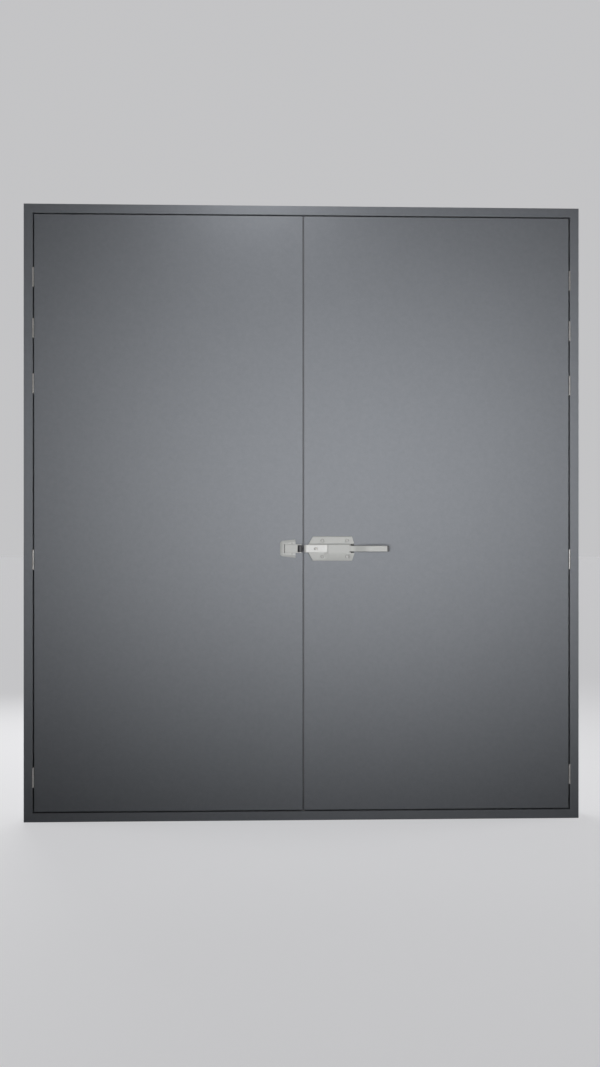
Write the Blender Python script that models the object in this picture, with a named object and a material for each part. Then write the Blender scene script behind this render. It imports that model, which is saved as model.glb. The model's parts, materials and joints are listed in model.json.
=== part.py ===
# Double-leaf soundproof steel door in a four-sided frame, with a lever latch and a roller keeper.
# Metres, +Z up. The viewer stands on the -Y side. The origin is the centre of the sill's underside.

import math

import bmesh
import bpy
from mathutils import Vector

# Clearances
SEAT = 0.0003
RUNNING_FIT = 0.0004
LEAF_GAP = 0.005

# Frame
FRAME_WIDTH = 1.990
FRAME_HEIGHT = 2.200
FRAME_FACE = 0.032
FRAME_DEPTH = 0.130
FRAME_BEND = 0.002
STOP_WIDTH = 0.030
GASKET_DEPTH = 0.010
GASKET_WIDTH = 0.012
GASKET_INSET = 0.013
GASKET_STEPS = 8

# Leaves
LEAF_THICKNESS = 0.080
LEAF_SHEET = 0.002
LEAF_FOLD_RADIUS = 0.0015
BACK_LIP_DEPTH = 0.030
MEETING_TAPER = 0.004
SEAL_START = 0.006
SEAL_WIDTH = 0.012
SEAL_GAP = 0.0006

# Hinges
HINGE_ABOVE_FLOOR = 0.160
HINGE_BELOW_MIDDLE = 0.166
HINGES_BELOW_TOP = (0.640, 0.443, 0.262)
HINGE_LENGTH = 0.071
HINGE_BARREL_RADIUS = 0.004
HINGE_KNUCKLE_EDGE = 0.0005
HINGE_PIN_RADIUS = 0.002
HINGE_PLATE = 0.0019
HINGE_PLATE_DEPTH = 0.034
HINGE_STAND_OFF = 0.0005
HINGE_SIDES = 20

# Latch, along X from the seam and up and down from its own centre line
LATCH_HEIGHT = 0.973
HOUSING_LEFT = 0.018
HOUSING_LEFT_CORNER = 0.034
HOUSING_RIGHT_CORNER = 0.174
HOUSING_RIGHT = 0.181
HOUSING_HALF_HEIGHT = 0.0435
HOUSING_LEFT_HALF = 0.0154
HOUSING_RIGHT_HALF = 0.0190
HOUSING_EDGE = 0.0020
HOUSING_CURVE_STEPS = 8
HOUSING_CURVE_POWER = 1.5
UPPER_RIM = 0.0090
LOWER_RIM = 0.0120
FLANGE_FOOT = 0.0130
RIDGE_HALF = 0.0167
RIDGE_DRAFT = 0.0015
RIDGE_EDGE = 0.0020
RIDGE_FILLET = 0.0020
CROWN_LEFT = 0.0190
CROWN_RIGHT = 0.0260
RAMP_START = 0.072
RAMP_END = 0.090
RAMP_STEPS = 6
ROOF = 0.0027
ROOF_LEFT = 0.0855
ROOF_RIGHT = 0.163
SCREW_LEFT = 0.0673
SCREW_RIGHT = 0.1565
SCREW_RISE = 0.0286
RECESS_RADIUS = 0.0085
UPPER_RECESS_FLOOR = 0.0080
LOWER_RECESS_FLOOR = 0.0120
CHANNEL_FLOOR = 0.0085
TONGUE_TIP = 0.0025
TONGUE_TAIL = 0.108
TONGUE_HALF_HEIGHT = 0.0133
TONGUE_THICKNESS = 0.010
TONGUE_BEVEL = 0.005
TONGUE_GROOVE = 0.0008
TONGUE_TRAVEL = 0.005
GUIDE_X = 0.0458
GUIDE_RADIUS = 0.0035
GUIDE_SLACK = 0.0007
LEVER_PIVOT_X = 0.157
LEVER_PIVOT_STAND_OFF = 0.013
LEVER_PIN_RADIUS = 0.003
LEVER_PIN_HALF = 0.0150
LEVER_HUB_RADIUS = 0.0085
LEVER_HALF_HEIGHT = 0.0105
LEVER_THICKNESS = 0.010
LEVER_CHAMFER = 0.002
LEVER_END = 0.2965
LEVER_RISE_START = 0.176
LEVER_RISE_END = 0.236
LEVER_STAND_OFF = 0.046
LEVER_STATIONS = 24
CAP_LENGTH = 0.0075
CAP_EDGE = 0.0015
POCKET_FLOOR = 0.003
POCKET_REACH = 0.0125
POCKET_SIDE = 0.0011
NOTCH_LEFT = 0.168
NOTCH_SIDE = 0.005

# Keeper, along X to the left of the seam
KEEPER_LEFT = 0.083
KEEPER_RIGHT = 0.0285
KEEPER_HALF_RIGHT = 0.033
KEEPER_HALF_LEFT = 0.028
KEEPER_CORNER = 0.010
KEEPER_CORNER_STEPS = 4
KEEPER_RIM = 0.005
KEEPER_TOP = 0.012
KEEPER_SKIRT = 0.009
BLOCK_LEFT = 0.068
BLOCK_HALF = 0.0150
BLOCK_TOP = 0.024
BLOCK_EDGE = 0.0012
CHEEK = 0.003
CHEEK_LAP = 0.0033
CHEEK_FOOT = 0.005
CHEEK_TOP = 0.0215
ROLLER_RADIUS = 0.00925
ROLLER_HALF = 0.0120
ROLLER_EDGE = 0.0008
ROLLER_PIN_RADIUS = 0.002
ROLLER_STAND_OFF = 0.014

ROUND_SIDES = 32
FRONT = -FRAME_DEPTH / 2
HALF_WIDTH = FRAME_WIDTH / 2
LEAF_OUTER = HALF_WIDTH - FRAME_FACE - LEAF_GAP
LEAF_INNER = LEAF_GAP / 2
LEAF_BOTTOM = FRAME_FACE + LEAF_GAP
LEAF_TOP = FRAME_HEIGHT - FRAME_FACE - LEAF_GAP
HINGE_X = LEAF_OUTER + LEAF_GAP / 2
HINGE_Y = FRONT - HINGE_BARREL_RADIUS - HINGE_STAND_OFF

for old in list(bpy.data.objects):
    bpy.data.objects.remove(old, do_unlink=True)


def finish(name, colour, roughness, metallic):
    """A plain coat or metal."""
    made = bpy.data.materials.new(name)
    made.use_nodes = True
    shader = made.node_tree.nodes["Principled BSDF"]
    shader.inputs["Base Color"].default_value = (*colour, 1.0)
    shader.inputs["Roughness"].default_value = roughness
    shader.inputs["Metallic"].default_value = metallic
    return made


def carrier(name, place):
    """An empty on a joint's axis, which carries the pieces that turn or slide there."""
    empty = bpy.data.objects.new(name, None)
    empty.location = place
    bpy.context.scene.collection.objects.link(empty)
    bpy.context.view_layer.update()
    return empty


def add_piece(name, mesh, material, parent=None):
    """Puts a mesh, made at its real place, into the scene and on what carries it."""
    piece = bpy.data.objects.new(name, mesh)
    bpy.context.scene.collection.objects.link(piece)
    if material is not None:
        mesh.materials.append(material)
    if parent is not None:
        mesh.transform(parent.matrix_world.inverted())
        piece.parent = parent
    mesh.shade_smooth()
    mesh.set_sharp_from_angle(angle=math.radians(32))
    return piece


def loft_mesh(name, rings):
    """A closed body through rings of as many points each, with a flat cap at each end."""
    shape = bmesh.new()
    loops = [[shape.verts.new(point) for point in ring] for ring in rings]
    for lower, upper in zip(loops, loops[1:]):
        for i in range(len(lower)):
            j = (i + 1) % len(lower)
            shape.faces.new((lower[i], lower[j], upper[j], upper[i]))
    shape.faces.new(loops[0])
    shape.faces.new(loops[-1])
    bmesh.ops.recalc_face_normals(shape, faces=shape.faces)
    mesh = bpy.data.meshes.new(name)
    shape.to_mesh(mesh)
    shape.free()
    return mesh


def plan_mesh(name, outline, low, high):
    """An outline in X and Y, drawn up from one height to another."""
    return loft_mesh(name, [[(x, y, z) for x, y in outline] for z in (low, high)])


def face_rings(outline, levels, centre_z):
    """Rings of an outline in X and Z that stand off the door's face, each with its own inset."""
    rings = []
    for stand_off, inset in levels:
        shrunk = inset_outline(outline, inset)
        rings.append([(x, FRONT - stand_off, centre_z + z) for x, z in shrunk])
    return rings


def inset_outline(outline, distance):
    """A convex outline with each side moved inwards by a distance."""
    area = sum(a[0] * b[1] - b[0] * a[1] for a, b in zip(outline, outline[1:] + outline[:1]))
    turn = 1 if area > 0 else -1
    lines = []
    for start, end in zip(outline, outline[1:] + outline[:1]):
        along = (Vector(end) - Vector(start)).normalized()
        inward = Vector((-along.y, along.x)) * turn
        lines.append((Vector(start) + inward * distance, along))
    moved = []
    for before, after in zip(lines[-1:] + lines[:-1], lines):
        cross = before[1].x * after[1].y - before[1].y * after[1].x
        step = after[0] - before[0]
        reach = (step.x * after[1].y - step.y * after[1].x) / cross
        moved.append(tuple(before[0] + before[1] * reach))
    return moved


def box_outline(x_low, x_high, y_low, y_high):
    return [(x_low, y_low), (x_high, y_low), (x_high, y_high), (x_low, y_high)]


def arc(centre, radius, start, end, steps):
    """Points along an arc, with angles in degrees."""
    points = []
    for i in range(steps + 1):
        angle = math.radians(start + (end - start) * i / steps)
        points.append((centre[0] + radius * math.cos(angle), centre[1] + radius * math.sin(angle)))
    return points


def circle(centre, radius, sides):
    return arc(centre, radius, 0, 360, sides)[:-1]


def rod_mesh(name, centre, radius, low, high, sides=ROUND_SIDES, edge=0.0):
    """A round upright rod, its ends chamfered by an edge."""
    levels = [(low, radius - edge), (low + edge, radius), (high - edge, radius), (high, radius - edge)]
    if edge == 0.0:
        levels = [(low, radius), (high, radius)]
    return loft_mesh(name, [[(x, y, z) for x, y in circle(centre, r, sides)] for z, r in levels])


def combine(piece, mesh, operation):
    """Joins a shape to a piece, or cuts it away, with a Boolean that stays on the piece."""
    tool = bpy.data.objects.new(f"{piece.name}_{operation.lower()}_{len(piece.modifiers)}", mesh)
    bpy.context.scene.collection.objects.link(tool)
    if piece.parent is not None:
        mesh.transform(piece.parent.matrix_world.inverted())
        tool.parent = piece.parent
    tool.hide_render = True
    tool.display_type = "WIRE"
    step = piece.modifiers.new(operation.title(), "BOOLEAN")
    step.operation = operation
    step.object = tool


# Four-sided frame: folded steel sections, mitred and welded at the corners

PAINT = finish("door_paint", (0.235, 0.245, 0.262), 0.45, 0.0)
RUBBER = finish("black_rubber", (0.02, 0.02, 0.022), 0.8, 0.0)
STEEL = finish("zinc_steel", (0.55, 0.55, 0.56), 0.35, 1.0)
CASTING = finish("silver_casting", (0.47, 0.475, 0.465), 0.4, 0.6)
BRIGHT = finish("bright_steel", (0.72, 0.72, 0.70), 0.25, 1.0)
CAP_PLASTIC = finish("black_plastic", (0.03, 0.03, 0.033), 0.45, 0.0)

SIDES = ("sill", "head", "jamb_left", "jamb_right")


def frame_side(name, side, profile, material):
    """One side of a mitred rectangle. The profile runs inwards from its edge and back from its front."""
    pull_back = SEAT / math.sqrt(2)
    ends = ([], [])
    for inwards, back in profile:
        across = HALF_WIDTH - inwards
        for end, ring in zip((-1, 1), ends):
            if side in ("sill", "head"):
                x = end * (across - pull_back)
                z = inwards if side == "sill" else FRAME_HEIGHT - inwards
            else:
                x = -across if side == "jamb_left" else across
                z = inwards + pull_back if end < 0 else FRAME_HEIGHT - inwards - pull_back
            ring.append((x, FRONT + back, z))
    add_piece(name, loft_mesh(name, ends), material)


stop_front = LEAF_THICKNESS + GASKET_DEPTH
stop_edge = FRAME_FACE + STOP_WIDTH


def bend(inwards, back, start):
    """A quarter turn of folded sheet about a point, with its first angle in degrees."""
    return arc((inwards, back), FRAME_BEND, start, start + 90, 3)


frame_profile = (
    bend(FRAME_BEND, FRAME_BEND, 180)
    + bend(FRAME_FACE - FRAME_BEND, FRAME_BEND, 270)
    + [(FRAME_FACE, stop_front)]
    + bend(stop_edge - FRAME_BEND, stop_front + FRAME_BEND, 270)
    + bend(stop_edge - FRAME_BEND, FRAME_DEPTH - FRAME_BEND, 0)
    + bend(FRAME_BEND, FRAME_DEPTH - FRAME_BEND, 90)
)
for side in SIDES:
    frame_side(f"frame_{side}", side, frame_profile, PAINT)

# Rubber bulb gasket on the stop, all round, just short of the leaves' backs

gasket_middle = FRAME_FACE + GASKET_INSET + GASKET_WIDTH / 2
gasket_rise = GASKET_DEPTH - SEAT - RUNNING_FIT
gasket_profile = []
for i in range(GASKET_STEPS + 1):
    turned = math.pi * i / GASKET_STEPS
    gasket_profile.append(
        (
            gasket_middle - math.cos(turned) * GASKET_WIDTH / 2,
            stop_front - SEAT - math.sin(turned) * gasket_rise,
        )
    )
for side in SIDES:
    frame_side(f"gasket_{side}", side, gasket_profile, RUBBER)


# Two leaves: a deep steel pan with the outer face and edges, and a lipped cover behind it


def leaf_outline(hand, inset, front, back):
    """A leaf in plan, its meeting edge tapered so that the back corner clears when it swings."""
    taper = MEETING_TAPER / LEAF_THICKNESS
    outer = LEAF_OUTER - inset
    inner = LEAF_INNER + inset
    return [
        (hand * outer, FRONT + front),
        (hand * (inner + taper * front), FRONT + front),
        (hand * (inner + taper * back), FRONT + back),
        (hand * outer, FRONT + back),
    ]


def fold_front_edges(mesh):
    """Rounds the bends round the outer face, as a press brake leaves them."""
    shape = bmesh.new()
    shape.from_mesh(mesh)
    bends = [e for e in shape.edges if all(abs(v.co.y - FRONT) < SEAT for v in e.verts)]
    bmesh.ops.bevel(
        shape, geom=bends, offset=LEAF_FOLD_RADIUS, segments=3, profile=0.5, affect="EDGES"
    )
    shape.to_mesh(mesh)
    shape.free()


def add_leaf(name, hand, pivot):
    bottom, top = LEAF_BOTTOM, LEAF_TOP
    pan_back = LEAF_THICKNESS - LEAF_SHEET - SEAT
    pan = plan_mesh(f"{name}_front", leaf_outline(hand, 0, 0, pan_back), bottom, top)
    fold_front_edges(pan)
    front = add_piece(f"{name}_front", pan, PAINT, pivot)
    hollow = leaf_outline(hand, LEAF_SHEET, LEAF_SHEET, LEAF_THICKNESS)
    combine(front, plan_mesh("hollow", hollow, bottom + LEAF_SHEET, top - LEAF_SHEET), "DIFFERENCE")

    plate_front = LEAF_THICKNESS - LEAF_SHEET
    plate = plan_mesh(
        f"{name}_back", leaf_outline(hand, 0, plate_front, LEAF_THICKNESS), bottom, top
    )
    back = add_piece(f"{name}_back", plate, PAINT, pivot)
    outer = LEAF_SHEET + SEAT
    lip_front = plate_front - BACK_LIP_DEPTH
    lip_back = LEAF_THICKNESS - LEAF_SHEET / 2
    lip = leaf_outline(hand, outer, lip_front, lip_back)
    combine(back, plan_mesh("lip", lip, bottom + outer, top - outer), "UNION")
    inner = outer + LEAF_SHEET
    well = leaf_outline(hand, inner, lip_front - LEAF_SHEET, plate_front)
    combine(back, plan_mesh("well", well, bottom + inner, top - inner), "DIFFERENCE")

    edge = LEAF_INNER - SEAT
    taper = MEETING_TAPER / LEAF_THICKNESS
    seal_end = SEAL_START + SEAL_WIDTH
    strip = [
        (hand * (edge + taper * SEAL_START), FRONT + SEAL_START),
        (hand * SEAL_GAP / 2, FRONT + SEAL_START),
        (hand * (SEAL_GAP / 2 + taper * SEAL_WIDTH), FRONT + seal_end),
        (hand * (edge + taper * seal_end), FRONT + seal_end),
    ]
    add_piece(f"{name}_seal", plan_mesh(f"{name}_seal", strip, bottom, top), RUBBER, pivot)


left_pivot = carrier("left_leaf_axis", (-HINGE_X, HINGE_Y, 0))
right_pivot = carrier("right_leaf_axis", (HINGE_X, HINGE_Y, 0))
add_leaf("left_leaf", -1, left_pivot)
add_leaf("right_leaf", 1, right_pivot)


# Butt hinges in the outer gaps: two frame knuckles with a fixed pin, and a leaf knuckle between them

hinge_heights = [HINGE_ABOVE_FLOOR, FRAME_HEIGHT / 2 - HINGE_BELOW_MIDDLE]
hinge_heights += [FRAME_HEIGHT - below for below in HINGES_BELOW_TOP]


def knuckle_mesh(axis, low, high):
    return rod_mesh("knuckle", axis, HINGE_BARREL_RADIUS, low, high, HINGE_SIDES, HINGE_KNUCKLE_EDGE)


def add_hinge(name, hand, height, pivot):
    third = HINGE_LENGTH / 3
    low = height - HINGE_LENGTH / 2
    high = height + HINGE_LENGTH / 2
    axis = (hand * HINGE_X, HINGE_Y)
    plate_front = FRONT + SEAT
    plate_back = FRONT + HINGE_PLATE_DEPTH
    web_back = plate_front + HINGE_PLATE
    frame_outer = hand * (HALF_WIDTH - FRAME_FACE - SEAT)
    frame_inner = frame_outer - hand * HINGE_PLATE
    leaf_outer = hand * (LEAF_OUTER + SEAT)
    leaf_inner = leaf_outer + hand * HINGE_PLATE

    plate = plan_mesh(
        f"{name}_frame_half", box_outline(frame_outer, frame_inner, plate_front, plate_back), low, high
    )
    frame_half = add_piece(f"{name}_frame_half", plate, STEEL)
    web = box_outline(frame_outer, frame_inner, HINGE_Y, web_back)
    for start, end in ((low, low + third), (high - third, high)):
        combine(frame_half, plan_mesh("web", web, start, end), "UNION")
        combine(frame_half, knuckle_mesh(axis, start, end), "UNION")
    pin = rod_mesh("pin", axis, HINGE_PIN_RADIUS, low + third / 2, high - third / 2, HINGE_SIDES)
    combine(frame_half, pin, "UNION")

    plate = plan_mesh(
        f"{name}_leaf_half", box_outline(leaf_outer, leaf_inner, plate_front, plate_back), low, high
    )
    leaf_half = add_piece(f"{name}_leaf_half", plate, STEEL, pivot)
    web = box_outline(leaf_outer, leaf_inner, HINGE_Y, web_back)
    start = low + third + RUNNING_FIT
    end = high - third - RUNNING_FIT
    combine(leaf_half, plan_mesh("web", web, start, end), "UNION")
    combine(leaf_half, knuckle_mesh(axis, start, end), "UNION")
    bore = rod_mesh("bore", axis, HINGE_PIN_RADIUS + SEAT, start - third, end + third, HINGE_SIDES)
    combine(leaf_half, bore, "DIFFERENCE")


for number, height in enumerate(hinge_heights, start=1):
    add_hinge(f"left_hinge_{number}", -1, height, left_pivot)
    add_hinge(f"right_hinge_{number}", 1, height, right_pivot)

# Latch housing: one die casting, drawn along its length and cut to a six-sided outline. Its lower half
# curves gently up to a flat front, which steps down to a flange above. It has an open channel and then
# a tunnel for the tongue, a pocket for the lever, and a recess for each of its four screws.

housing_outline = [
    (HOUSING_LEFT, -HOUSING_LEFT_HALF),
    (HOUSING_LEFT_CORNER, -HOUSING_HALF_HEIGHT),
    (HOUSING_RIGHT_CORNER, -HOUSING_HALF_HEIGHT),
    (HOUSING_RIGHT, -HOUSING_RIGHT_HALF),
    (HOUSING_RIGHT, HOUSING_RIGHT_HALF),
    (HOUSING_RIGHT_CORNER, HOUSING_HALF_HEIGHT),
    (HOUSING_LEFT_CORNER, HOUSING_HALF_HEIGHT),
    (HOUSING_LEFT, HOUSING_LEFT_HALF),
]
open_front = CROWN_RIGHT + LEAF_GAP
tongue_back = CHANNEL_FLOOR + SEAT
tongue_front = tongue_back + TONGUE_THICKNESS
tunnel_half = TONGUE_HALF_HEIGHT + RUNNING_FIT
tunnel_end = TONGUE_TAIL + TONGUE_TRAVEL + LEAF_GAP
pocket_half = LEVER_HALF_HEIGHT + POCKET_SIDE
pocket_left = LEVER_PIVOT_X - POCKET_REACH
pocket_top = CROWN_RIGHT - ROOF
past_edge = HOUSING_RIGHT + LEAF_GAP


def housing_section(crown):
    """Heights and stand-offs round the housing, for a front that stands off the leaf by the crown."""
    half = HOUSING_HALF_HEIGHT
    wall_top = RIDGE_HALF - RIDGE_DRAFT
    front_half = wall_top - RIDGE_EDGE
    run = half - HOUSING_EDGE - front_half
    section = [(-half, SEAT), (-half, LOWER_RIM - HOUSING_EDGE)]
    for i in range(HOUSING_CURVE_STEPS + 1):
        share = 1 - i / HOUSING_CURVE_STEPS
        drop = (crown - LOWER_RIM) * share**HOUSING_CURVE_POWER
        section.append((-front_half - run * share, crown - drop))
    section += [
        (front_half, crown),
        (wall_top, crown - RIDGE_EDGE),
        (RIDGE_HALF, FLANGE_FOOT + RIDGE_FILLET),
        (RIDGE_HALF + RIDGE_FILLET, FLANGE_FOOT),
        (half - HOUSING_EDGE, UPPER_RIM),
        (half, UPPER_RIM - HOUSING_EDGE),
        (half, SEAT),
    ]
    return section


def section_ring(x, section):
    return [(x, FRONT - stand_off, LATCH_HEIGHT + z) for z, stand_off in section]


def drawn_along_x(name, section, left, right):
    """A section of heights and stand-offs, drawn from left to right across the latch."""
    return loft_mesh(name, [section_ring(x, section) for x in (left, right)])


def latch_box(name, left, right, half_height, low, high):
    """A box on the latch's centre line, from one stand-off to another."""
    section = box_outline(-half_height, half_height, low, high)
    return drawn_along_x(name, section, left, right)


def stepped_cut(name, half_height, floor, top, closed_end, open_end, step):
    """A cut along the latch, roofed from its closed end to a step and open to the front from there."""
    outline = [
        (closed_end, FRONT - floor),
        (open_end, FRONT - floor),
        (open_end, FRONT - open_front),
        (step, FRONT - open_front),
        (step, FRONT - top),
        (closed_end, FRONT - top),
    ]
    return plan_mesh(name, outline, LATCH_HEIGHT - half_height, LATCH_HEIGHT + half_height)


def stud_mesh(name, centre, radius, low, high, edge=0.0):
    """A round stud or bore that stands off the leaf, with a chamfer at its outer end."""
    ring = circle(centre, radius, ROUND_SIDES)
    levels = [(low, 0), (high - edge, 0), (high, edge)] if edge > 0 else [(low, 0), (high, 0)]
    return loft_mesh(name, face_rings(ring, levels, LATCH_HEIGHT))


body_rings = [section_ring(HOUSING_LEFT - LEAF_GAP, housing_section(CROWN_LEFT))]
for i in range(RAMP_STEPS + 1):
    share = i / RAMP_STEPS
    rise = share * share * (3 - 2 * share)
    crown = CROWN_LEFT + (CROWN_RIGHT - CROWN_LEFT) * rise
    x = RAMP_START + (RAMP_END - RAMP_START) * share
    body_rings.append(section_ring(x, housing_section(crown)))
body_rings.append(section_ring(past_edge, housing_section(CROWN_RIGHT)))
housing = add_piece("latch_housing", loft_mesh("latch_housing", body_rings), CASTING, right_pivot)
blank = loft_mesh(
    "blank", face_rings(housing_outline, [(-LEAF_GAP, 0), (open_front, 0)], LATCH_HEIGHT)
)
combine(housing, blank, "INTERSECT")
channel = stepped_cut(
    "channel", tunnel_half, CHANNEL_FLOOR, tongue_front + RUNNING_FIT,
    tunnel_end, HOUSING_LEFT - LEAF_GAP, ROOF_LEFT,
)
combine(housing, channel, "DIFFERENCE")
pocket = stepped_cut(
    "pocket", pocket_half, POCKET_FLOOR, pocket_top, pocket_left, past_edge, ROOF_RIGHT
)
combine(housing, pocket, "DIFFERENCE")
notch = latch_box(
    "notch", NOTCH_LEFT, past_edge, LEVER_HALF_HEIGHT + NOTCH_SIDE, POCKET_FLOOR, open_front
)
combine(housing, notch, "DIFFERENCE")
for x in (SCREW_LEFT, SCREW_RIGHT):
    for z, floor in ((SCREW_RISE, UPPER_RECESS_FLOOR), (-SCREW_RISE, LOWER_RECESS_FLOOR)):
        recess = stud_mesh("recess", (x, z), RECESS_RADIUS, floor, open_front)
        combine(housing, recess, "DIFFERENCE")
lever_axis = (LEVER_PIVOT_X, FRONT - LEVER_PIVOT_STAND_OFF)
pin_low = LATCH_HEIGHT - LEVER_PIN_HALF
pin_high = LATCH_HEIGHT + LEVER_PIN_HALF
pin_bore = rod_mesh("pin_bore", lever_axis, LEVER_PIN_RADIUS + SEAT, pin_low - SEAT, pin_high + SEAT)
combine(housing, pin_bore, "DIFFERENCE")
add_piece(
    "lever_pin",
    rod_mesh("lever_pin", lever_axis, LEVER_PIN_RADIUS, pin_low, pin_high),
    STEEL,
    right_pivot,
)

# Tongue: a bright sliding bar with a bevelled tip, held down by a guide pin in its slot

tongue_axis = carrier("tongue_axis", (TONGUE_TIP, FRONT - tongue_back, LATCH_HEIGHT))
tongue_axis.parent = right_pivot
tongue_axis.matrix_parent_inverse = right_pivot.matrix_world.inverted()
bpy.context.view_layer.update()
bevel_end = TONGUE_TIP + TONGUE_BEVEL
tongue_outline = [
    (TONGUE_TIP, FRONT - tongue_back),
    (TONGUE_TAIL, FRONT - tongue_back),
    (TONGUE_TAIL, FRONT - tongue_front),
    (bevel_end + 2 * TONGUE_GROOVE, FRONT - tongue_front),
    (bevel_end + 2 * TONGUE_GROOVE, FRONT - tongue_front + TONGUE_GROOVE),
    (bevel_end + TONGUE_GROOVE, FRONT - tongue_front + TONGUE_GROOVE),
    (bevel_end + TONGUE_GROOVE, FRONT - tongue_front),
    (bevel_end, FRONT - tongue_front),
    (TONGUE_TIP, FRONT - tongue_front + TONGUE_BEVEL),
]
tongue = add_piece(
    "latch_tongue",
    plan_mesh(
        "latch_tongue",
        tongue_outline,
        LATCH_HEIGHT - TONGUE_HALF_HEIGHT,
        LATCH_HEIGHT + TONGUE_HALF_HEIGHT,
    ),
    BRIGHT,
    tongue_axis,
)
slot_radius = GUIDE_RADIUS + GUIDE_SLACK
slot_right = GUIDE_X + GUIDE_SLACK
slot_left = GUIDE_X - TONGUE_TRAVEL - GUIDE_SLACK
slot = arc((slot_right, 0), slot_radius, -90, 90, 10) + arc((slot_left, 0), slot_radius, 90, 270, 10)
slot_rings = face_rings(slot, [(tongue_back - LEAF_GAP, 0), (open_front, 0)], LATCH_HEIGHT)
combine(tongue, loft_mesh("slot", slot_rings), "DIFFERENCE")
add_piece(
    "tongue_guide_pin",
    stud_mesh("guide_pin", (GUIDE_X, 0), GUIDE_RADIUS, tongue_back, tongue_front, GUIDE_SLACK),
    STEEL,
    right_pivot,
)

# Lever: a cast handle on an upright pin, which rises off the leaf to leave room for fingers

lever_carrier = carrier("lever_axis", (*lever_axis, LATCH_HEIGHT))
lever_carrier.parent = right_pivot
lever_carrier.matrix_parent_inverse = right_pivot.matrix_world.inverted()
bpy.context.view_layer.update()


def lever_stand_off(x):
    """How far the lever's middle stands off the leaf: low at the pivot, then a smooth rise to the grip."""
    share = (x - LEVER_RISE_START) / (LEVER_RISE_END - LEVER_RISE_START)
    share = min(max(share, 0.0), 1.0)
    smooth = share * share * (3 - 2 * share)
    return LEVER_PIVOT_STAND_OFF + (LEVER_STAND_OFF - LEVER_PIVOT_STAND_OFF) * smooth


def lever_ring(x, inset=0.0):
    """The lever's chamfered section at a place along it, square to its middle line."""
    step = CAP_LENGTH / 10
    slope = (lever_stand_off(x + step) - lever_stand_off(x - step)) / (2 * step)
    across = Vector((slope, 1.0)).normalized()
    half_z = LEVER_HALF_HEIGHT - inset
    half_t = LEVER_THICKNESS / 2 - inset
    cut = LEVER_CHAMFER
    corners = [
        (half_z, half_t - cut),
        (half_z - cut, half_t),
        (cut - half_z, half_t),
        (-half_z, half_t - cut),
        (-half_z, cut - half_t),
        (cut - half_z, -half_t),
        (half_z - cut, -half_t),
        (half_z, cut - half_t),
    ]
    middle = Vector((x, FRONT - lever_stand_off(x)))
    ring = []
    for z, out in corners:
        point = middle + across * out
        ring.append((point.x, point.y, LATCH_HEIGHT + z))
    return ring


stations = [
    LEVER_PIVOT_X + (LEVER_END - LEVER_PIVOT_X) * i / LEVER_STATIONS for i in range(LEVER_STATIONS + 1)
]
lever = add_piece(
    "latch_lever", loft_mesh("latch_lever", [lever_ring(x) for x in stations]), CASTING, lever_carrier
)
lever_low = LATCH_HEIGHT - LEVER_HALF_HEIGHT
lever_high = LATCH_HEIGHT + LEVER_HALF_HEIGHT
hub = rod_mesh("hub", lever_axis, LEVER_HUB_RADIUS, lever_low, lever_high)
combine(lever, hub, "UNION")
lever_bore = rod_mesh(
    "lever_bore", lever_axis, LEVER_PIN_RADIUS + SEAT, lever_low - LEAF_GAP, lever_high + LEAF_GAP
)
combine(lever, lever_bore, "DIFFERENCE")
cap_start = LEVER_END + SEAT
cap_end = LEVER_END + CAP_LENGTH
cap_rings = [
    lever_ring(cap_start),
    lever_ring(cap_end - CAP_EDGE),
    lever_ring(cap_end, CAP_EDGE),
]
add_piece("lever_end_cap", loft_mesh("lever_end_cap", cap_rings), CAP_PLASTIC, lever_carrier)

# Keeper: a cast base with sloping skirts on three sides, upright towards the seam, with a raised block
# and two cheeks, which hold a roller on a pin

roller_x = -LEAF_INNER - ROLLER_RADIUS
roller_axis = (roller_x, FRONT - ROLLER_STAND_OFF)
corner_x = -KEEPER_LEFT + KEEPER_CORNER
corner_z = KEEPER_HALF_LEFT - KEEPER_CORNER
keeper_splay = (KEEPER_HALF_RIGHT - KEEPER_HALF_LEFT) / (-KEEPER_RIGHT - corner_x)


def keeper_outline(past_edge):
    """The keeper's outline, drawn on past its right edge by as much as an inset takes off there."""
    right = -KEEPER_RIGHT + past_edge
    half = KEEPER_HALF_RIGHT + keeper_splay * past_edge
    outline = [(right, -half), (right, half)]
    outline += arc((corner_x, corner_z), KEEPER_CORNER, 90, 180, KEEPER_CORNER_STEPS)
    outline += arc((corner_x, -corner_z), KEEPER_CORNER, 180, 270, KEEPER_CORNER_STEPS)
    return outline


keeper_rings = []
for stand_off, inset in ((SEAT, 0), (KEEPER_RIM, 0), (KEEPER_TOP, KEEPER_SKIRT)):
    keeper_rings += face_rings(keeper_outline(inset), [(stand_off, inset)], LATCH_HEIGHT)
keeper = add_piece("keeper_base", loft_mesh("keeper_base", keeper_rings), CASTING, left_pivot)
block_right = roller_x - ROLLER_RADIUS - RUNNING_FIT
block_section = [
    (-BLOCK_HALF, KEEPER_RIM),
    (-BLOCK_HALF, BLOCK_TOP - BLOCK_EDGE),
    (-BLOCK_HALF + BLOCK_EDGE, BLOCK_TOP),
    (BLOCK_HALF - BLOCK_EDGE, BLOCK_TOP),
    (BLOCK_HALF, BLOCK_TOP - BLOCK_EDGE),
    (BLOCK_HALF, KEEPER_RIM),
]
combine(keeper, drawn_along_x("block", block_section, -BLOCK_LEFT, block_right), "UNION")
cheek_outer = ROLLER_HALF + RUNNING_FIT + CHEEK
for low in (-cheek_outer, cheek_outer - CHEEK):
    section = box_outline(low, low + CHEEK, CHEEK_FOOT, CHEEK_TOP)
    cheek = drawn_along_x("cheek", section, -BLOCK_LEFT + KEEPER_CORNER, roller_x + CHEEK_LAP)
    combine(keeper, cheek, "UNION")
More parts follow.
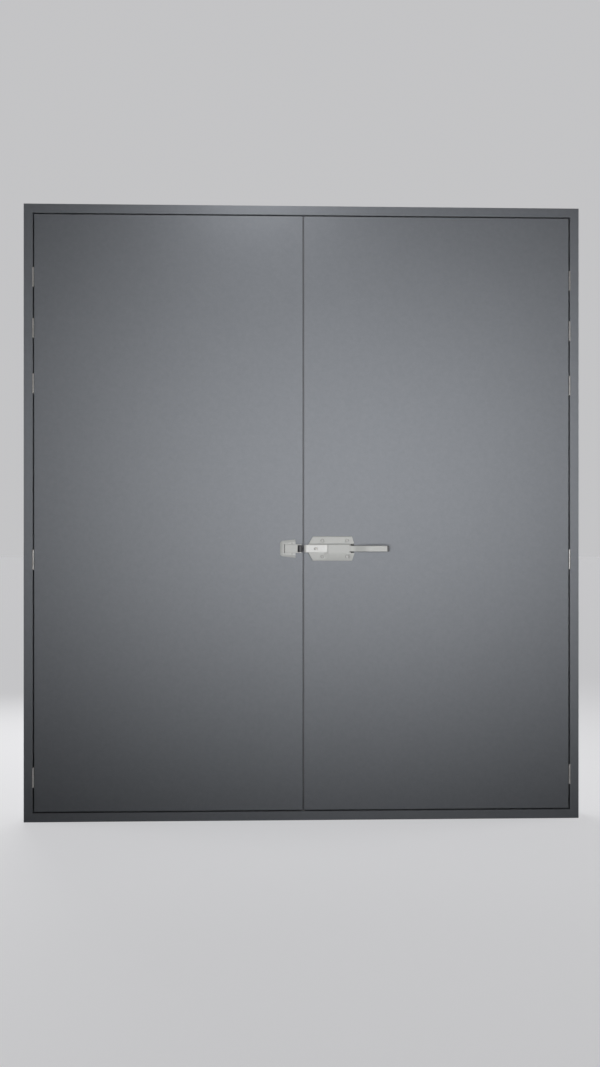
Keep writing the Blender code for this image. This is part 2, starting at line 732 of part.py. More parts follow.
roller_bore = rod_mesh(
    "roller_bore",
    roller_axis,
    ROLLER_PIN_RADIUS + SEAT,
    LATCH_HEIGHT - cheek_outer - LEAF_GAP,
    LATCH_HEIGHT + cheek_outer + LEAF_GAP,
)
combine(keeper, roller_bore, "DIFFERENCE")
add_piece(
    "keeper_roller_pin",
    rod_mesh(
        "keeper_roller_pin",
        roller_axis,
        ROLLER_PIN_RADIUS,
        LATCH_HEIGHT - cheek_outer,
        LATCH_HEIGHT + cheek_outer,
    ),
    STEEL,
    left_pivot,
)
roller_carrier = carrier("roller_axis", (*roller_axis, LATCH_HEIGHT))
roller_carrier.parent = left_pivot
roller_carrier.matrix_parent_inverse = left_pivot.matrix_world.inverted()
bpy.context.view_layer.update()
roller_low = LATCH_HEIGHT - ROLLER_HALF
roller_high = LATCH_HEIGHT + ROLLER_HALF
roller = add_piece(
    "keeper_roller",
    rod_mesh("keeper_roller", roller_axis, ROLLER_RADIUS, roller_low, roller_high, ROUND_SIDES, ROLLER_EDGE),
    CAP_PLASTIC,
    roller_carrier,
)
roller_hole = rod_mesh(
    "roller_hole", roller_axis, ROLLER_PIN_RADIUS + SEAT, roller_low - CHEEK / 2, roller_high + CHEEK / 2
)
combine(roller, roller_hole, "DIFFERENCE")
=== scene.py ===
# Looks of a double-leaf soundproof steel door with a lever latch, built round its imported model.
# Metres, +Z up, the front towards -Y, the origin at the middle of the sill's underside.

import json
import math

import bpy
from mathutils import Matrix, Vector

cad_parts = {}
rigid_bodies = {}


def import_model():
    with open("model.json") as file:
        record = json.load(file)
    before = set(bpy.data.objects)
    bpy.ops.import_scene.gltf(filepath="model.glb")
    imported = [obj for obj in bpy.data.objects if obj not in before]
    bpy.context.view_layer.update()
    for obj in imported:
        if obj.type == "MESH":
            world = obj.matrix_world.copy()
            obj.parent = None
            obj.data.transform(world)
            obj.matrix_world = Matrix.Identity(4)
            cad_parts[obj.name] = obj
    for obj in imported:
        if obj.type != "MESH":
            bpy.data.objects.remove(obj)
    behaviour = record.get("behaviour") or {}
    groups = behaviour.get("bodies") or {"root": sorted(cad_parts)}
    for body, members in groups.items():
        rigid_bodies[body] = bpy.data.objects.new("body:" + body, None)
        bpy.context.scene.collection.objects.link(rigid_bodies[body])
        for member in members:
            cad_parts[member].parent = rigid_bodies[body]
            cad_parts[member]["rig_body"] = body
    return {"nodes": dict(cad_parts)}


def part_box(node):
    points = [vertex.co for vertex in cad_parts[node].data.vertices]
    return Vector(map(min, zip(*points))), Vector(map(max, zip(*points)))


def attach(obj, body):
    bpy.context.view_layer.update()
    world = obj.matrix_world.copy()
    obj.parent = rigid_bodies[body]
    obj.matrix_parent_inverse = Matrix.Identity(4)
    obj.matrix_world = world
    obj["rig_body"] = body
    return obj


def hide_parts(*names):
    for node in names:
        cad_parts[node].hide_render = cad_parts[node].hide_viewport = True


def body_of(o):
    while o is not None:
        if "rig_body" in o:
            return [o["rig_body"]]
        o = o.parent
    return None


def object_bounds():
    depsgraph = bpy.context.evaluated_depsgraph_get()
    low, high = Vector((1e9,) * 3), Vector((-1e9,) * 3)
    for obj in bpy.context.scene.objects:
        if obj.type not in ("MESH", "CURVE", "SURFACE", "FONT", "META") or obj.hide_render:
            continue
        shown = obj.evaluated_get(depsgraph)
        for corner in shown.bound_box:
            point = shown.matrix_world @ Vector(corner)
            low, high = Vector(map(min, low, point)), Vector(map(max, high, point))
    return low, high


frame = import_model()
cad_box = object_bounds()
nodes = frame["nodes"]
scene = bpy.context.scene
scene.view_settings.view_transform = "Standard"

# Camera
# A normal lens, level, a metre above the floor, a little left of the seam and turned slightly to the
# right, as the photograph was taken.

LENS_MM = 50.0
FILM_MM = 36.0
CAMERA_ASIDE = -0.237
CAMERA_AWAY = 5.302
CAMERA_HEIGHT = 1.027
CAMERA_TURN = -2.43

door_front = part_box("frame_head")[0].y
camera_data = bpy.data.cameras.new("camera")
camera_data.lens = LENS_MM
camera_data.sensor_width = FILM_MM
camera = bpy.data.objects.new("camera", camera_data)
camera.location = (CAMERA_ASIDE, door_front - CAMERA_AWAY, CAMERA_HEIGHT)
camera.rotation_euler = (math.radians(90), 0, math.radians(CAMERA_TURN))
scene.collection.objects.link(camera)
scene.camera = camera

# Studio
# A wide plain pale floor under a surround of the same tone. A soft lamp stands in front of the door at
# waist height, aimed up a little, with a small one near the door's head and others behind and beside it.

FLOOR_PALE = (0.34, 0.34, 0.345, 1.0)
FLOOR_GLOW = (0.50, 0.50, 0.51, 1.0)
FLOOR_BOUNCE = (0.05, 0.05, 0.05, 1.0)
FLOOR_ROUGH = 0.85
FLOOR_REACH = 60.0
SURROUND_PALE = (0.55, 0.55, 0.56, 1.0)
SURROUND_BOUNCE = (0.03, 0.03, 0.03, 1.0)


def started(name):
    """Names a primitive that was just added, with its size and place moved into its mesh."""
    piece = bpy.context.object
    piece.name = name
    bpy.ops.object.transform_apply(location=True, rotation=True, scale=True)
    return piece


bpy.ops.object.select_all(action="DESELECT")
bpy.ops.mesh.primitive_plane_add(size=2 * FLOOR_REACH, location=(0, 0, 0))
floor = started("studio_floor")


def seen_directly(tree):
    """One where the camera, a reflection or clear glass looks, and nought where light bounces."""
    path = tree.nodes.new("ShaderNodeLightPath")
    either = tree.nodes.new("ShaderNodeMath")
    either.operation = "MAXIMUM"
    tree.links.new(path.outputs["Is Camera Ray"], either.inputs[0])
    tree.links.new(path.outputs["Is Glossy Ray"], either.inputs[1])
    seen = tree.nodes.new("ShaderNodeMath")
    seen.operation = "MAXIMUM"
    tree.links.new(either.outputs["Value"], seen.inputs[0])
    tree.links.new(path.outputs["Is Transmission Ray"], seen.inputs[1])
    return seen.outputs["Value"]


def chosen_colour(tree, seen, plain, direct):
    """One colour for light that bounces, and another for what is seen."""
    mix = tree.nodes.new("ShaderNodeMix")
    mix.data_type = "RGBA"
    tree.links.new(seen, mix.inputs["Factor"])
    mix.inputs["A"].default_value = plain
    mix.inputs["B"].default_value = direct
    return mix.outputs["Result"]


floor_material = bpy.data.materials.new("studio_floor")
floor_material.use_nodes = True
floor_tree = floor_material.node_tree
floor_shader = floor_tree.nodes["Principled BSDF"]
floor_shader.inputs["Roughness"].default_value = FLOOR_ROUGH
floor_shader.inputs["Emission Strength"].default_value = 1.0
floor_seen = seen_directly(floor_tree)
floor_colour = chosen_colour(floor_tree, floor_seen, FLOOR_BOUNCE, FLOOR_PALE)
floor_tree.links.new(floor_colour, floor_shader.inputs["Base Color"])
floor_glow = chosen_colour(floor_tree, floor_seen, (0, 0, 0, 1), FLOOR_GLOW)
floor_tree.links.new(floor_glow, floor_shader.inputs["Emission Color"])
floor.data.materials.append(floor_material)


def soft_lamp(name, place, target, width, height, watts, spread=180):
    """A rectangular lamp, aimed at a point, which the camera doesn't see."""
    data = bpy.data.lights.new(name, "AREA")
    data.shape = "RECTANGLE"
    data.size = width
    data.size_y = height
    data.energy = watts
    data.spread = math.radians(spread)
    lamp = bpy.data.objects.new(name, data)
    lamp.location = place
    lamp.rotation_euler = (Vector(target) - Vector(place)).to_track_quat("-Z", "Y").to_euler()
    lamp.visible_camera = False
    scene.collection.objects.link(lamp)


soft_lamp("key_lamp", (0.20, -2.84, 0.92), (0.20, 0, 1.34), width=2.0, height=0.94, watts=12.15, spread=64)
soft_lamp("head_lamp", (-0.16, -0.42, 2.36), (-0.16, 0, 2.18), width=0.35, height=0.10, watts=0.9)
soft_lamp("back_lamp", (-0.8, 3.2, 2.6), (0, 0, 1.0), width=2.4, height=2.0, watts=80)
soft_lamp("left_lamp", (-3.2, 0.6, 1.8), (-1.0, 0, 1.1), width=1.2, height=1.8, watts=20)
soft_lamp("right_lamp", (3.2, 0.6, 1.8), (1.0, 0, 1.1), width=1.2, height=1.8, watts=20)
world = bpy.data.worlds.new("studio_surround")
scene.world = world
world.use_nodes = True
background = world.node_tree.nodes["Background"]
surround_seen = seen_directly(world.node_tree)
surround = chosen_colour(world.node_tree, surround_seen, SURROUND_BOUNCE, SURROUND_PALE)
world.node_tree.links.new(surround, background.inputs["Color"])
background.inputs["Strength"].default_value = 1.0

# Frame
# Four sides of folded steel, mitred and welded into one rebated frame with a stop behind the leaves.
# Powder coated grey after welding, so the coat has a fine grain and lies a little thinner on the bends.

PAINT_GREY = (0.238, 0.251, 0.274, 1.0)
PAINT_ROUGH = 0.52
SIDES = ("sill", "head", "jamb_left", "jamb_right")
MERGE_WITHIN = 0.00002
FLAT_UNDER = math.radians(1)
BEND_ANGLE = math.radians(35)


def new_group(name, inputs, outputs):
    """An empty shader node group with named sockets, and its input and output nodes."""
    group = bpy.data.node_groups.new(name, "ShaderNodeTree")
    for label, kind, value in inputs:
        socket = group.interface.new_socket(label, in_out="INPUT", socket_type=kind)
        socket.default_value = value
    for label, kind in outputs:
        group.interface.new_socket(label, in_out="OUTPUT", socket_type=kind)
    start = group.nodes.new("NodeGroupInput")
    end = group.nodes.new("NodeGroupOutput")
    return group, start, end


def noise(tree, place, scale, detail, roughness=0.5):
    """A noise texture on a vector, which puts out its grey value."""
    texture = tree.nodes.new("ShaderNodeTexNoise")
    texture.inputs["Scale"].default_value = scale
    texture.inputs["Detail"].default_value = detail
    texture.inputs["Roughness"].default_value = roughness
    tree.links.new(place, texture.inputs["Vector"])
    return texture.outputs["Fac"]


def remap(tree, value, low, high, to_low, to_high):
    """A value moved from one range to another, clamped at its ends."""
    step = tree.nodes.new("ShaderNodeMapRange")
    step.inputs["From Min"].default_value = low
    step.inputs["From Max"].default_value = high
    step.inputs["To Min"].default_value = to_low
    step.inputs["To Max"].default_value = to_high
    tree.links.new(value, step.inputs["Value"])
    return step.outputs["Result"]


def sums(tree, operation, first, second):
    """Two values joined by a sum, product or other arithmetic step."""
    step = tree.nodes.new("ShaderNodeMath")
    step.operation = operation
    for socket, value in zip(step.inputs, (first, second)):
        if isinstance(value, (int, float)):
            socket.default_value = value
        else:
            tree.links.new(value, socket)
    return step.outputs["Value"]


def tinted(tree, colour, factor):
    """A colour made lighter or darker by a factor that changes over the surface."""
    step = tree.nodes.new("ShaderNodeVectorMath")
    step.operation = "SCALE"
    if isinstance(colour, tuple):
        step.inputs[0].default_value = colour[:3]
    else:
        tree.links.new(colour, step.inputs[0])
    tree.links.new(factor, step.inputs["Scale"])
    return step.outputs["Vector"]


def edge_rub_group():
    """Where a surface turns sharply within a small radius, broken up by noise: rubbed or thin edges."""
    group, start, end = new_group(
        "edge_rub",
        [("Vector", "NodeSocketVector", (0, 0, 0)), ("Breakup", "NodeSocketFloat", 300.0)],
        [("Mask", "NodeSocketFloat")],
    )
    rounded = group.nodes.new("ShaderNodeBevel")
    rounded.samples = 4
    rounded.inputs["Radius"].default_value = 0.0012
    flat = group.nodes.new("ShaderNodeNewGeometry")
    turn = group.nodes.new("ShaderNodeVectorMath")
    turn.operation = "DOT_PRODUCT"
    group.links.new(rounded.outputs["Normal"], turn.inputs[0])
    group.links.new(flat.outputs["Normal"], turn.inputs[1])
    sharp = remap(group, turn.outputs["Value"], 0.80, 0.985, 1.0, 0.0)
    texture = group.nodes.new("ShaderNodeTexNoise")
    texture.inputs["Detail"].default_value = 3
    group.links.new(start.outputs["Vector"], texture.inputs["Vector"])
    group.links.new(start.outputs["Breakup"], texture.inputs["Scale"])
    broken = remap(group, texture.outputs["Fac"], 0.38, 0.62, 0.25, 1.0)
    group.links.new(sums(group, "MULTIPLY", sharp, broken), end.inputs["Mask"])
    return group


def coat_grain_group():
    """Fine mottling and orange peel of a sprayed or baked coat."""
    group, start, end = new_group(
        "coat_grain",
        [("Vector", "NodeSocketVector", (0, 0, 0)), ("Mottle", "NodeSocketFloat", 1.0)],
        [("Tone", "NodeSocketFloat"), ("Roughness", "NodeSocketFloat"), ("Height", "NodeSocketFloat")],
    )
    place = start.outputs["Vector"]
    cloud = noise(group, place, 7.0, 3)
    speck = noise(group, place, 70.0, 4, 0.6)
    grit = noise(group, place, 420.0, 2)
    peel = noise(group, place, 950.0, 2)
    slow = sums(group, "MULTIPLY", sums(group, "SUBTRACT", cloud, 0.5), 0.05)
    fine = sums(group, "MULTIPLY", sums(group, "SUBTRACT", speck, 0.5), 0.16)
    sand = sums(group, "MULTIPLY", sums(group, "SUBTRACT", grit, 0.5), 0.12)
    change = sums(group, "ADD", slow, sums(group, "ADD", fine, sand))
    change = sums(group, "MULTIPLY", change, start.outputs["Mottle"])
    group.links.new(sums(group, "ADD", change, 1.0), end.inputs["Tone"])
    gloss = sums(group, "ADD", sums(group, "MULTIPLY", cloud, 0.10), sums(group, "MULTIPLY", speck, 0.08))
    group.links.new(sums(group, "SUBTRACT", gloss, 0.09), end.inputs["Roughness"])
    relief = sums(group, "ADD", peel, sums(group, "MULTIPLY", grit, 1.4))
    group.links.new(relief, end.inputs["Height"])
    return group


EDGE_RUB = edge_rub_group()
COAT_GRAIN = coat_grain_group()


def new_material(name, roughness, metallic=0.0, specular=0.5):
    """A material with its shader and a socket that gives object coordinates."""
    material = bpy.data.materials.new(name)
    material.use_nodes = True
    tree = material.node_tree
    shader = tree.nodes["Principled BSDF"]
    shader.inputs["Roughness"].default_value = roughness
    shader.inputs["Metallic"].default_value = metallic
    shader.inputs["Specular IOR Level"].default_value = specular
    coordinates = tree.nodes.new("ShaderNodeTexCoord")
    return material, tree, shader, coordinates.outputs["Object"]


def placed(tree, group, place, **values):
    """A group in a material, with its vector and its own values."""
    step = tree.nodes.new("ShaderNodeGroup")
    step.node_tree = group
    tree.links.new(place, step.inputs["Vector"])
    for label, value in values.items():
        step.inputs[label].default_value = value
    return step.outputs


def bump(tree, shader, height, strength, distance):
    """Gives a shader a relief, from a height that changes over the surface."""
    step = tree.nodes.new("ShaderNodeBump")
    step.inputs["Strength"].default_value = strength
    step.inputs["Distance"].default_value = distance
    tree.links.new(height, step.inputs["Height"])
    tree.links.new(step.outputs["Normal"], shader.inputs["Normal"])


def powder_coat(name, colour, roughness):
    """Grey powder coat: mottled, slightly pebbled, a touch paler on its edges."""
    material, tree, shader, place = new_material(name, roughness, specular=0.20)
    grain = placed(tree, COAT_GRAIN, place, Mottle=1.0)
    rub = placed(tree, EDGE_RUB, place, Breakup=160.0)
    tone = sums(tree, "ADD", grain["Tone"], sums(tree, "MULTIPLY", rub["Mask"], 0.10))
    tree.links.new(tinted(tree, colour, tone), shader.inputs["Base Color"])
    tree.links.new(sums(tree, "ADD", grain["Roughness"], roughness), shader.inputs["Roughness"])
    bump(tree, shader, grain["Height"], 0.35, 0.00006)
    return material


def only(piece):
    """Makes a piece the one that is selected and worked on."""
    bpy.ops.object.select_all(action="DESELECT")
    piece.select_set(True)
    bpy.context.view_layer.objects.active = piece


def copy_of(node, name):
    """A copy of a made node, selected, with its loose triangles merged into faces."""
    piece = bpy.data.objects.new(name, nodes[node].data.copy())
    scene.collection.objects.link(piece)
    only(piece)
    bpy.ops.object.mode_set(mode="EDIT")
    bpy.ops.mesh.select_all(action="SELECT")
    bpy.ops.mesh.remove_doubles(threshold=MERGE_WITHIN)
    bpy.ops.mesh.dissolve_limited(angle_limit=FLAT_UNDER)
    bpy.ops.object.mode_set(mode="OBJECT")
    return piece


def joined(name, pieces):
    """Several pieces made into one."""
    bpy.ops.object.select_all(action="DESELECT")
    for piece in pieces:
        piece.select_set(True)
    bpy.context.view_layer.objects.active = pieces[0]
    bpy.ops.object.join()
    whole = bpy.context.object
    whole.name = name
    return whole


def shaded(piece):
    """Smooth over bends and rounded edges, with the flat faces kept flat."""
    only(piece)
    bpy.ops.object.shade_smooth_by_angle(angle=BEND_ANGLE)
    weight = piece.modifiers.new("weight", "WEIGHTED_NORMAL")
    weight.keep_sharp = True
    bpy.ops.object.modifier_apply(modifier="weight")


def finished(piece, material, body):
    """Shades a piece and gives it its finish and the body that it rides on."""
    shaded(piece)
    piece.data.materials.clear()
    piece.data.materials.append(material)
    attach(piece, body)


def stands_for(piece, material, slot, *replaced):
    """Finishes a piece that takes the place of made nodes, and rides on their body."""
    finished(piece, material, body_of(nodes[replaced[0]])[0])
    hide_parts(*replaced)


def pick_faces(piece, chosen):
    """Opens a piece in edit mode with only those faces selected that a test picks out."""
    bpy.ops.object.mode_set(mode="EDIT")
    bpy.ops.mesh.select_mode(type="FACE")
    bpy.ops.mesh.select_all(action="DESELECT")
    bpy.ops.object.mode_set(mode="OBJECT")
    for face in piece.data.polygons:
        face.select = chosen(face)
    bpy.ops.object.mode_set(mode="EDIT")


def ring_of(stem, name):
    """The four sides of a mitred ring, drawn together at their corners into one piece."""
    ring = joined(name, [copy_of(f"{stem}_{side}", f"{name}_{side}") for side in SIDES])
    half_width = cad_box[1].x
    height = cad_box[1].z
    for point in ring.data.vertices:
        side = 1 if point.co.x > 0 else -1
        lower = point.co.z < height / 2
        inwards = min(half_width - abs(point.co.x), point.co.z, height - point.co.z)
        point.co.x = side * (half_width - inwards)
        point.co.z = inwards if lower else height - inwards
    pick_faces(ring, lambda face: abs(face.normal.x) > 0.5 and abs(face.normal.z) > 0.5)
    bpy.ops.mesh.delete(type="FACE")
    bpy.ops.mesh.select_all(action="SELECT")
    bpy.ops.mesh.remove_doubles(threshold=MERGE_WITHIN)
    bpy.ops.mesh.normals_make_consistent(inside=False)
    bpy.ops.object.mode_set(mode="OBJECT")
    return ring


frame_paint = powder_coat("frame_powder_coat", PAINT_GREY, PAINT_ROUGH)
frame_nodes = [f"frame_{side}" for side in SIDES]
stands_for(ring_of("frame", "welded_frame"), frame_paint, "door_paint", *frame_nodes)

# Gaskets and meeting seals
# Extruded rubber, matt and faintly dusty: a black bulb all round the stop, which the leaves' backs press
# on, and a grey strip on each meeting edge, whose rounded lip touches the other.

GASKET_BLACK = (0.020, 0.020, 0.022)
SEAL_GREY = (0.150, 0.153, 0.164)
RUBBER_GAP = 0.00003
NODE_GAP = 0.0003
SEAL_LIP = 0.0008
SEAL_ROOT = 0.0018


def rubber(name, colour, dusted):
    """Matt extruded rubber with fine pores, paler where dust has settled, by as much as is given."""
    material, tree, shader, place = new_material(name, 0.78, specular=0.3)
    dust = noise(tree, place, 35.0, 4)
    pore = noise(tree, place, 1400.0, 2)
    tone = remap(tree, dust, 0.35, 0.7, 1.0 - dusted / 4, 1.0 + dusted)
    tree.links.new(tinted(tree, colour, tone), shader.inputs["Base Color"])
    tree.links.new(remap(tree, dust, 0.3, 0.7, 0.68, 0.88), shader.inputs["Roughness"])
    bump(tree, shader, pore, 0.4, 0.00005)
    return material


def gasket_bulb():
    """The gasket ring, its crest raised to the leaves' backs and its foot set down on the stop."""
    ring = ring_of("gasket", "gasket_bulb")
    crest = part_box("gasket_head")[0].y
    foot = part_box("gasket_head")[1].y
    leaf_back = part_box("left_leaf_back")[1].y
    for point in ring.data.vertices:
        if point.co.y < crest + RUBBER_GAP:
            point.co.y = leaf_back + RUBBER_GAP
        elif point.co.y > foot - RUBBER_GAP:
            point.co.y = foot + NODE_GAP - RUBBER_GAP
    return ring


def pick_edges(piece, chosen):
    """Opens a piece in edit mode with only those edges selected of which both ends pass a test."""
    bpy.ops.object.mode_set(mode="EDIT")
    bpy.ops.mesh.select_mode(type="EDGE")
    bpy.ops.mesh.select_all(action="DESELECT")
    bpy.ops.object.mode_set(mode="OBJECT")
    for edge in piece.data.edges:
        edge.select = all(chosen(piece.data.vertices[point].co) for point in edge.vertices)
    bpy.ops.object.mode_set(mode="EDIT")


def seal_strip(hand, side):
    """A leaf's meeting seal, with its lip rounded and brought to the seam, and its root to the leaf."""
    strip = copy_of(f"{hand}_leaf_seal", f"{hand}_seal_strip")
    front = min(point.co.y for point in strip.data.vertices)
    pick_edges(strip, lambda place: abs(place.x) < SEAL_ROOT and place.y < front + RUBBER_GAP)
    bpy.ops.mesh.bevel(offset=SEAL_LIP, segments=4)
    bpy.ops.object.mode_set(mode="OBJECT")
    lip = min(abs(point.co.x) for point in strip.data.vertices)
    for point in strip.data.vertices:
        if abs(point.co.x) < lip + RUBBER_GAP:
            point.co.x = side * RUBBER_GAP
        elif abs(point.co.x) > SEAL_ROOT:
            point.co.x += side * (NODE_GAP - RUBBER_GAP)
    return strip


gasket_rubber = rubber("gasket_rubber", GASKET_BLACK, dusted=0.7)
seal_rubber = rubber("seal_rubber", SEAL_GREY, dusted=0.12)
gasket_nodes = [f"gasket_{side}" for side in SIDES]
stands_for(gasket_bulb(), gasket_rubber, "black_rubber", *gasket_nodes)
for hand, side in (("left", -1), ("right", 1)):
    stands_for(seal_strip(hand, side), seal_rubber, "black_rubber", f"{hand}_leaf_seal")

# Leaves
# Each is a pan of folded sheet steel with a lipped cover let in behind, filled and flush on both faces.
# Powder coated in the same grey as the frame, one batch, so the tone hardly differs.

SHEET_EDGE = 0.0003


def rounded_copy(node, name, edge, segments=3):
    """A copy of a made node with its sharp edges rounded."""
    piece = copy_of(node, name)
    rounding = piece.modifiers.new("rounding", "BEVEL")
    rounding.width = edge
    rounding.segments = segments
    rounding.limit_method = "ANGLE"
    rounding.angle_limit = BEND_ANGLE
    bpy.ops.object.modifier_apply(modifier="rounding")
    return piece


leaf_paint = powder_coat("leaf_powder_coat", PAINT_GREY, PAINT_ROUGH)
for hand in ("left", "right"):
    for part, sheet in (("front", "pan"), ("back", "cover")):
        node = f"{hand}_leaf_{part}"
        panel = rounded_copy(node, f"{hand}_leaf_{sheet}", SHEET_EDGE, segments=2)
        stands_for(panel, leaf_paint, "door_paint", node)

# Hinges
# Small zinc-plated steel butt hinges in the outer gaps: a plate on the jamb and one on the leaf's edge,
# each held by three countersunk screws, with rolled knuckles in front of the face on a fixed pin.

PLATED_GREY = (0.27, 0.265, 0.255)
SCREW_GREY = (0.35, 0.35, 0.34)
HINGES_A_SIDE = 5
HINGE_EDGE = 0.0003
SUNK_HEAD = 0.0032
SUNK_NECK = 0.0016
SUNK_DEPTH = 0.0014
SUNK_BELOW = 0.0001
SCREW_START = 11
SCREW_TURN = 37
HINGE_SCREWS = ((-0.0245, 0.018), (0.0, 0.025), (0.0245, 0.018))


def plated_steel(name, colour, roughness, metallic=1.0):
    """Dull plated steel: cloudy, finely scratched, brighter where it is rubbed."""
    material, tree, shader, place = new_material(name, roughness, metallic)
    cloud = noise(tree, place, 60.0, 4)
    fleck = noise(tree, place, 700.0, 2)
    rub = placed(tree, EDGE_RUB, place, Breakup=500.0)
    clouded = remap(tree, cloud, 0.3, 0.7, 0.88, 1.06)
    tone = sums(tree, "ADD", clouded, sums(tree, "MULTIPLY", rub["Mask"], 0.25))
    tree.links.new(tinted(tree, colour, tone), shader.inputs["Base Color"])
    scratched = remap(tree, fleck, 0.3, 0.7, roughness - 0.08, roughness + 0.1)
    tree.links.new(scratched, shader.inputs["Roughness"])
    bump(tree, shader, fleck, 0.25, 0.00004)
    return material


def cut_out(piece, cutter):
    """Cuts one shape out of a piece, and takes the cutter away."""
    only(piece)
    step = piece.modifiers.new("cut", "BOOLEAN")
    step.operation = "DIFFERENCE"
    step.object = cutter
    bpy.ops.object.modifier_apply(modifier="cut")
    bpy.data.objects.remove(cutter, do_unlink=True)


def turned_cone(name, low, high, low_radius, high_radius):
    """A cone's frustum that stands on the origin's axis, from one height to another."""
    bpy.ops.object.select_all(action="DESELECT")
    bpy.ops.mesh.primitive_cone_add(
        vertices=32,
        radius1=low_radius,
        radius2=high_radius,
        depth=high - low,
        location=(0, 0, (low + high) / 2),
    )
    return started(name)


def cross_cut(head, top, reach, width, depth):
    """Presses a cross recess with narrowing arms into a screw's head."""
    for turn in (0, 90):
        bpy.ops.object.select_all(action="DESELECT")
        bpy.ops.mesh.primitive_cube_add(size=1, location=(0, 0, top), rotation=(0, 0, math.radians(turn)))
        bpy.context.object.scale = (2 * reach, width, 2 * depth)
        arm = started(f"{head.name}_arm")
        pick_faces(arm, lambda face: face.normal.z < -0.9)
        bpy.ops.transform.resize(value=(0.6, 0.6, 1.0), center_override=(0, 0, top - depth))
        bpy.ops.object.mode_set(mode="OBJECT")
        cut_out(head, arm)


def copies_at(pattern, name, seats):
    """Copies of a pattern, each with its own mesh, stood on its seat and turned a little, as one piece."""
    copies = []
    for number, (outwards, place) in enumerate(seats):
        copy = bpy.data.objects.new(f"{name}_{number}", pattern.data.copy())
        scene.collection.objects.link(copy)
        upright = Vector(outwards).to_track_quat("Z", "Y").to_matrix().to_4x4()
        turned = Matrix.Rotation(math.radians(SCREW_TURN * number + SCREW_START), 4, "Z")
        copy.matrix_world = Matrix.Translation(place) @ upright @ turned
        only(copy)
        bpy.ops.object.transform_apply(location=True, rotation=True, scale=True)
        copies.append(copy)
    return joined(name, copies)


sunk_head = turned_cone("sunk_head", -SUNK_BELOW - SUNK_DEPTH, -SUNK_BELOW, SUNK_NECK, SUNK_HEAD)
cross_cut(sunk_head, -SUNK_BELOW, reach=SUNK_HEAD * 0.6, width=SUNK_HEAD * 0.18, depth=SUNK_DEPTH * 0.6)
sink_half = SUNK_DEPTH + 2 * SUNK_BELOW
sink_rise = (SUNK_HEAD - SUNK_NECK) / SUNK_DEPTH * sink_half
sink = turned_cone("sink", -sink_half, sink_half, SUNK_NECK, SUNK_NECK + 2 * sink_rise)
hinge_steel = plated_steel("hinge_steel", PLATED_GREY, 0.40)
screw_steel = plated_steel("screw_steel", SCREW_GREY, 0.5, metallic=0.1)


def plate_screws(node, way):
    """Seats of a hinge plate's screws, on its open face, which looks to one side."""
    points = [point.co for point in nodes[node].data.vertices]
    back = max(point.y for point in points)
    edge = [point.x for point in points if point.y > back - SUNK_BELOW]
    face = max(edge) if way > 0 else min(edge)
    low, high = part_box(node)
    middle = (low.z + high.z) / 2
    return [((way, 0, 0), (face, door_front + behind, middle + rise)) for rise, behind in HINGE_SCREWS]


for hand, side in (("left", -1), ("right", 1)):
    for half, way, body in (("frame_half", -side, "frame"), ("leaf_half", side, f"{hand}_leaf")):
        screws = []
        for number in range(1, HINGES_A_SIDE + 1):
            node = f"{hand}_hinge_{number}_{half}"
            seats = plate_screws(node, way)
            plate = rounded_copy(node, f"{node}_plated", HINGE_EDGE, segments=2)
            cut_out(plate, copies_at(sink, "sinks", seats))
            stands_for(plate, hinge_steel, "zinc_steel", node)
            screws += seats
        heads = copies_at(sunk_head, f"{hand}_{half}_screws", screws)
        finished(heads, screw_steel, body)

# Latch housing
# One die casting of zinc alloy, screwed to the right leaf through its four corners. Its satin silver coat
# is sprayed on. Inside the lever's pocket the faces are painted near-black, as painted shade.

CAST_SILVER = (0.515, 0.520, 0.506)
# The near-black colour below is painted shade, for the insides of the lever's pocket and the keeper's gap.
SHADE_NEAR_BLACK = (0.050, 0.050, 0.048)
HOUSING_EDGE = 0.0012
POCKET_LEFT = 0.1440
POCKET_RIGHT = 0.1815
POCKET_HALF = 0.0157
POCKET_FLOOR = 0.0020
POCKET_MOUTH = 0.0225
PAN_HEAD = 0.0066
PAN_HEIGHT = 0.0034
PAN_CROWN = 0.0020
HOUSING_SCREWS = (
    (0.0673, 0.0286, 0.008),
    (0.1565, 0.0286, 0.008),
    (0.0673, -0.0286, 0.012),
    (0.1565, -0.0286, 0.012),
)


def die_casting(name, colour, roughness):
    """Satin die casting: faint grain under a sprayed coat, a little paler where its edges are rubbed."""
    material, tree, shader, place = new_material(name, roughness, metallic=0.0, specular=0.15)
    grain = placed(tree, COAT_GRAIN, place, Mottle=0.5)
    rub = placed(tree, EDGE_RUB, place, Breakup=400.0)
    tone = sums(tree, "ADD", grain["Tone"], sums(tree, "MULTIPLY", rub["Mask"], 0.14))
    tree.links.new(tinted(tree, colour, tone), shader.inputs["Base Color"])
    tree.links.new(sums(tree, "ADD", grain["Roughness"], roughness), shader.inputs["Roughness"])
    bump(tree, shader, grain["Height"], 0.3, 0.00004)
    return material


def paint_shade_inside(piece, left, right, half_height, floor, mouth):
    """Paints the faces inside a cut near-black as painted shade, chosen by their place and their height
    above the leaf.
    """
    piece.data.materials.append(painted_shade_material)
    for face in piece.data.polygons:
        above_leaf = door_front - face.center.y
        across = left < face.center.x < right and abs(face.center.z - latch_middle) < half_height
        if across and floor < above_leaf < mouth:
            face.material_index = 1


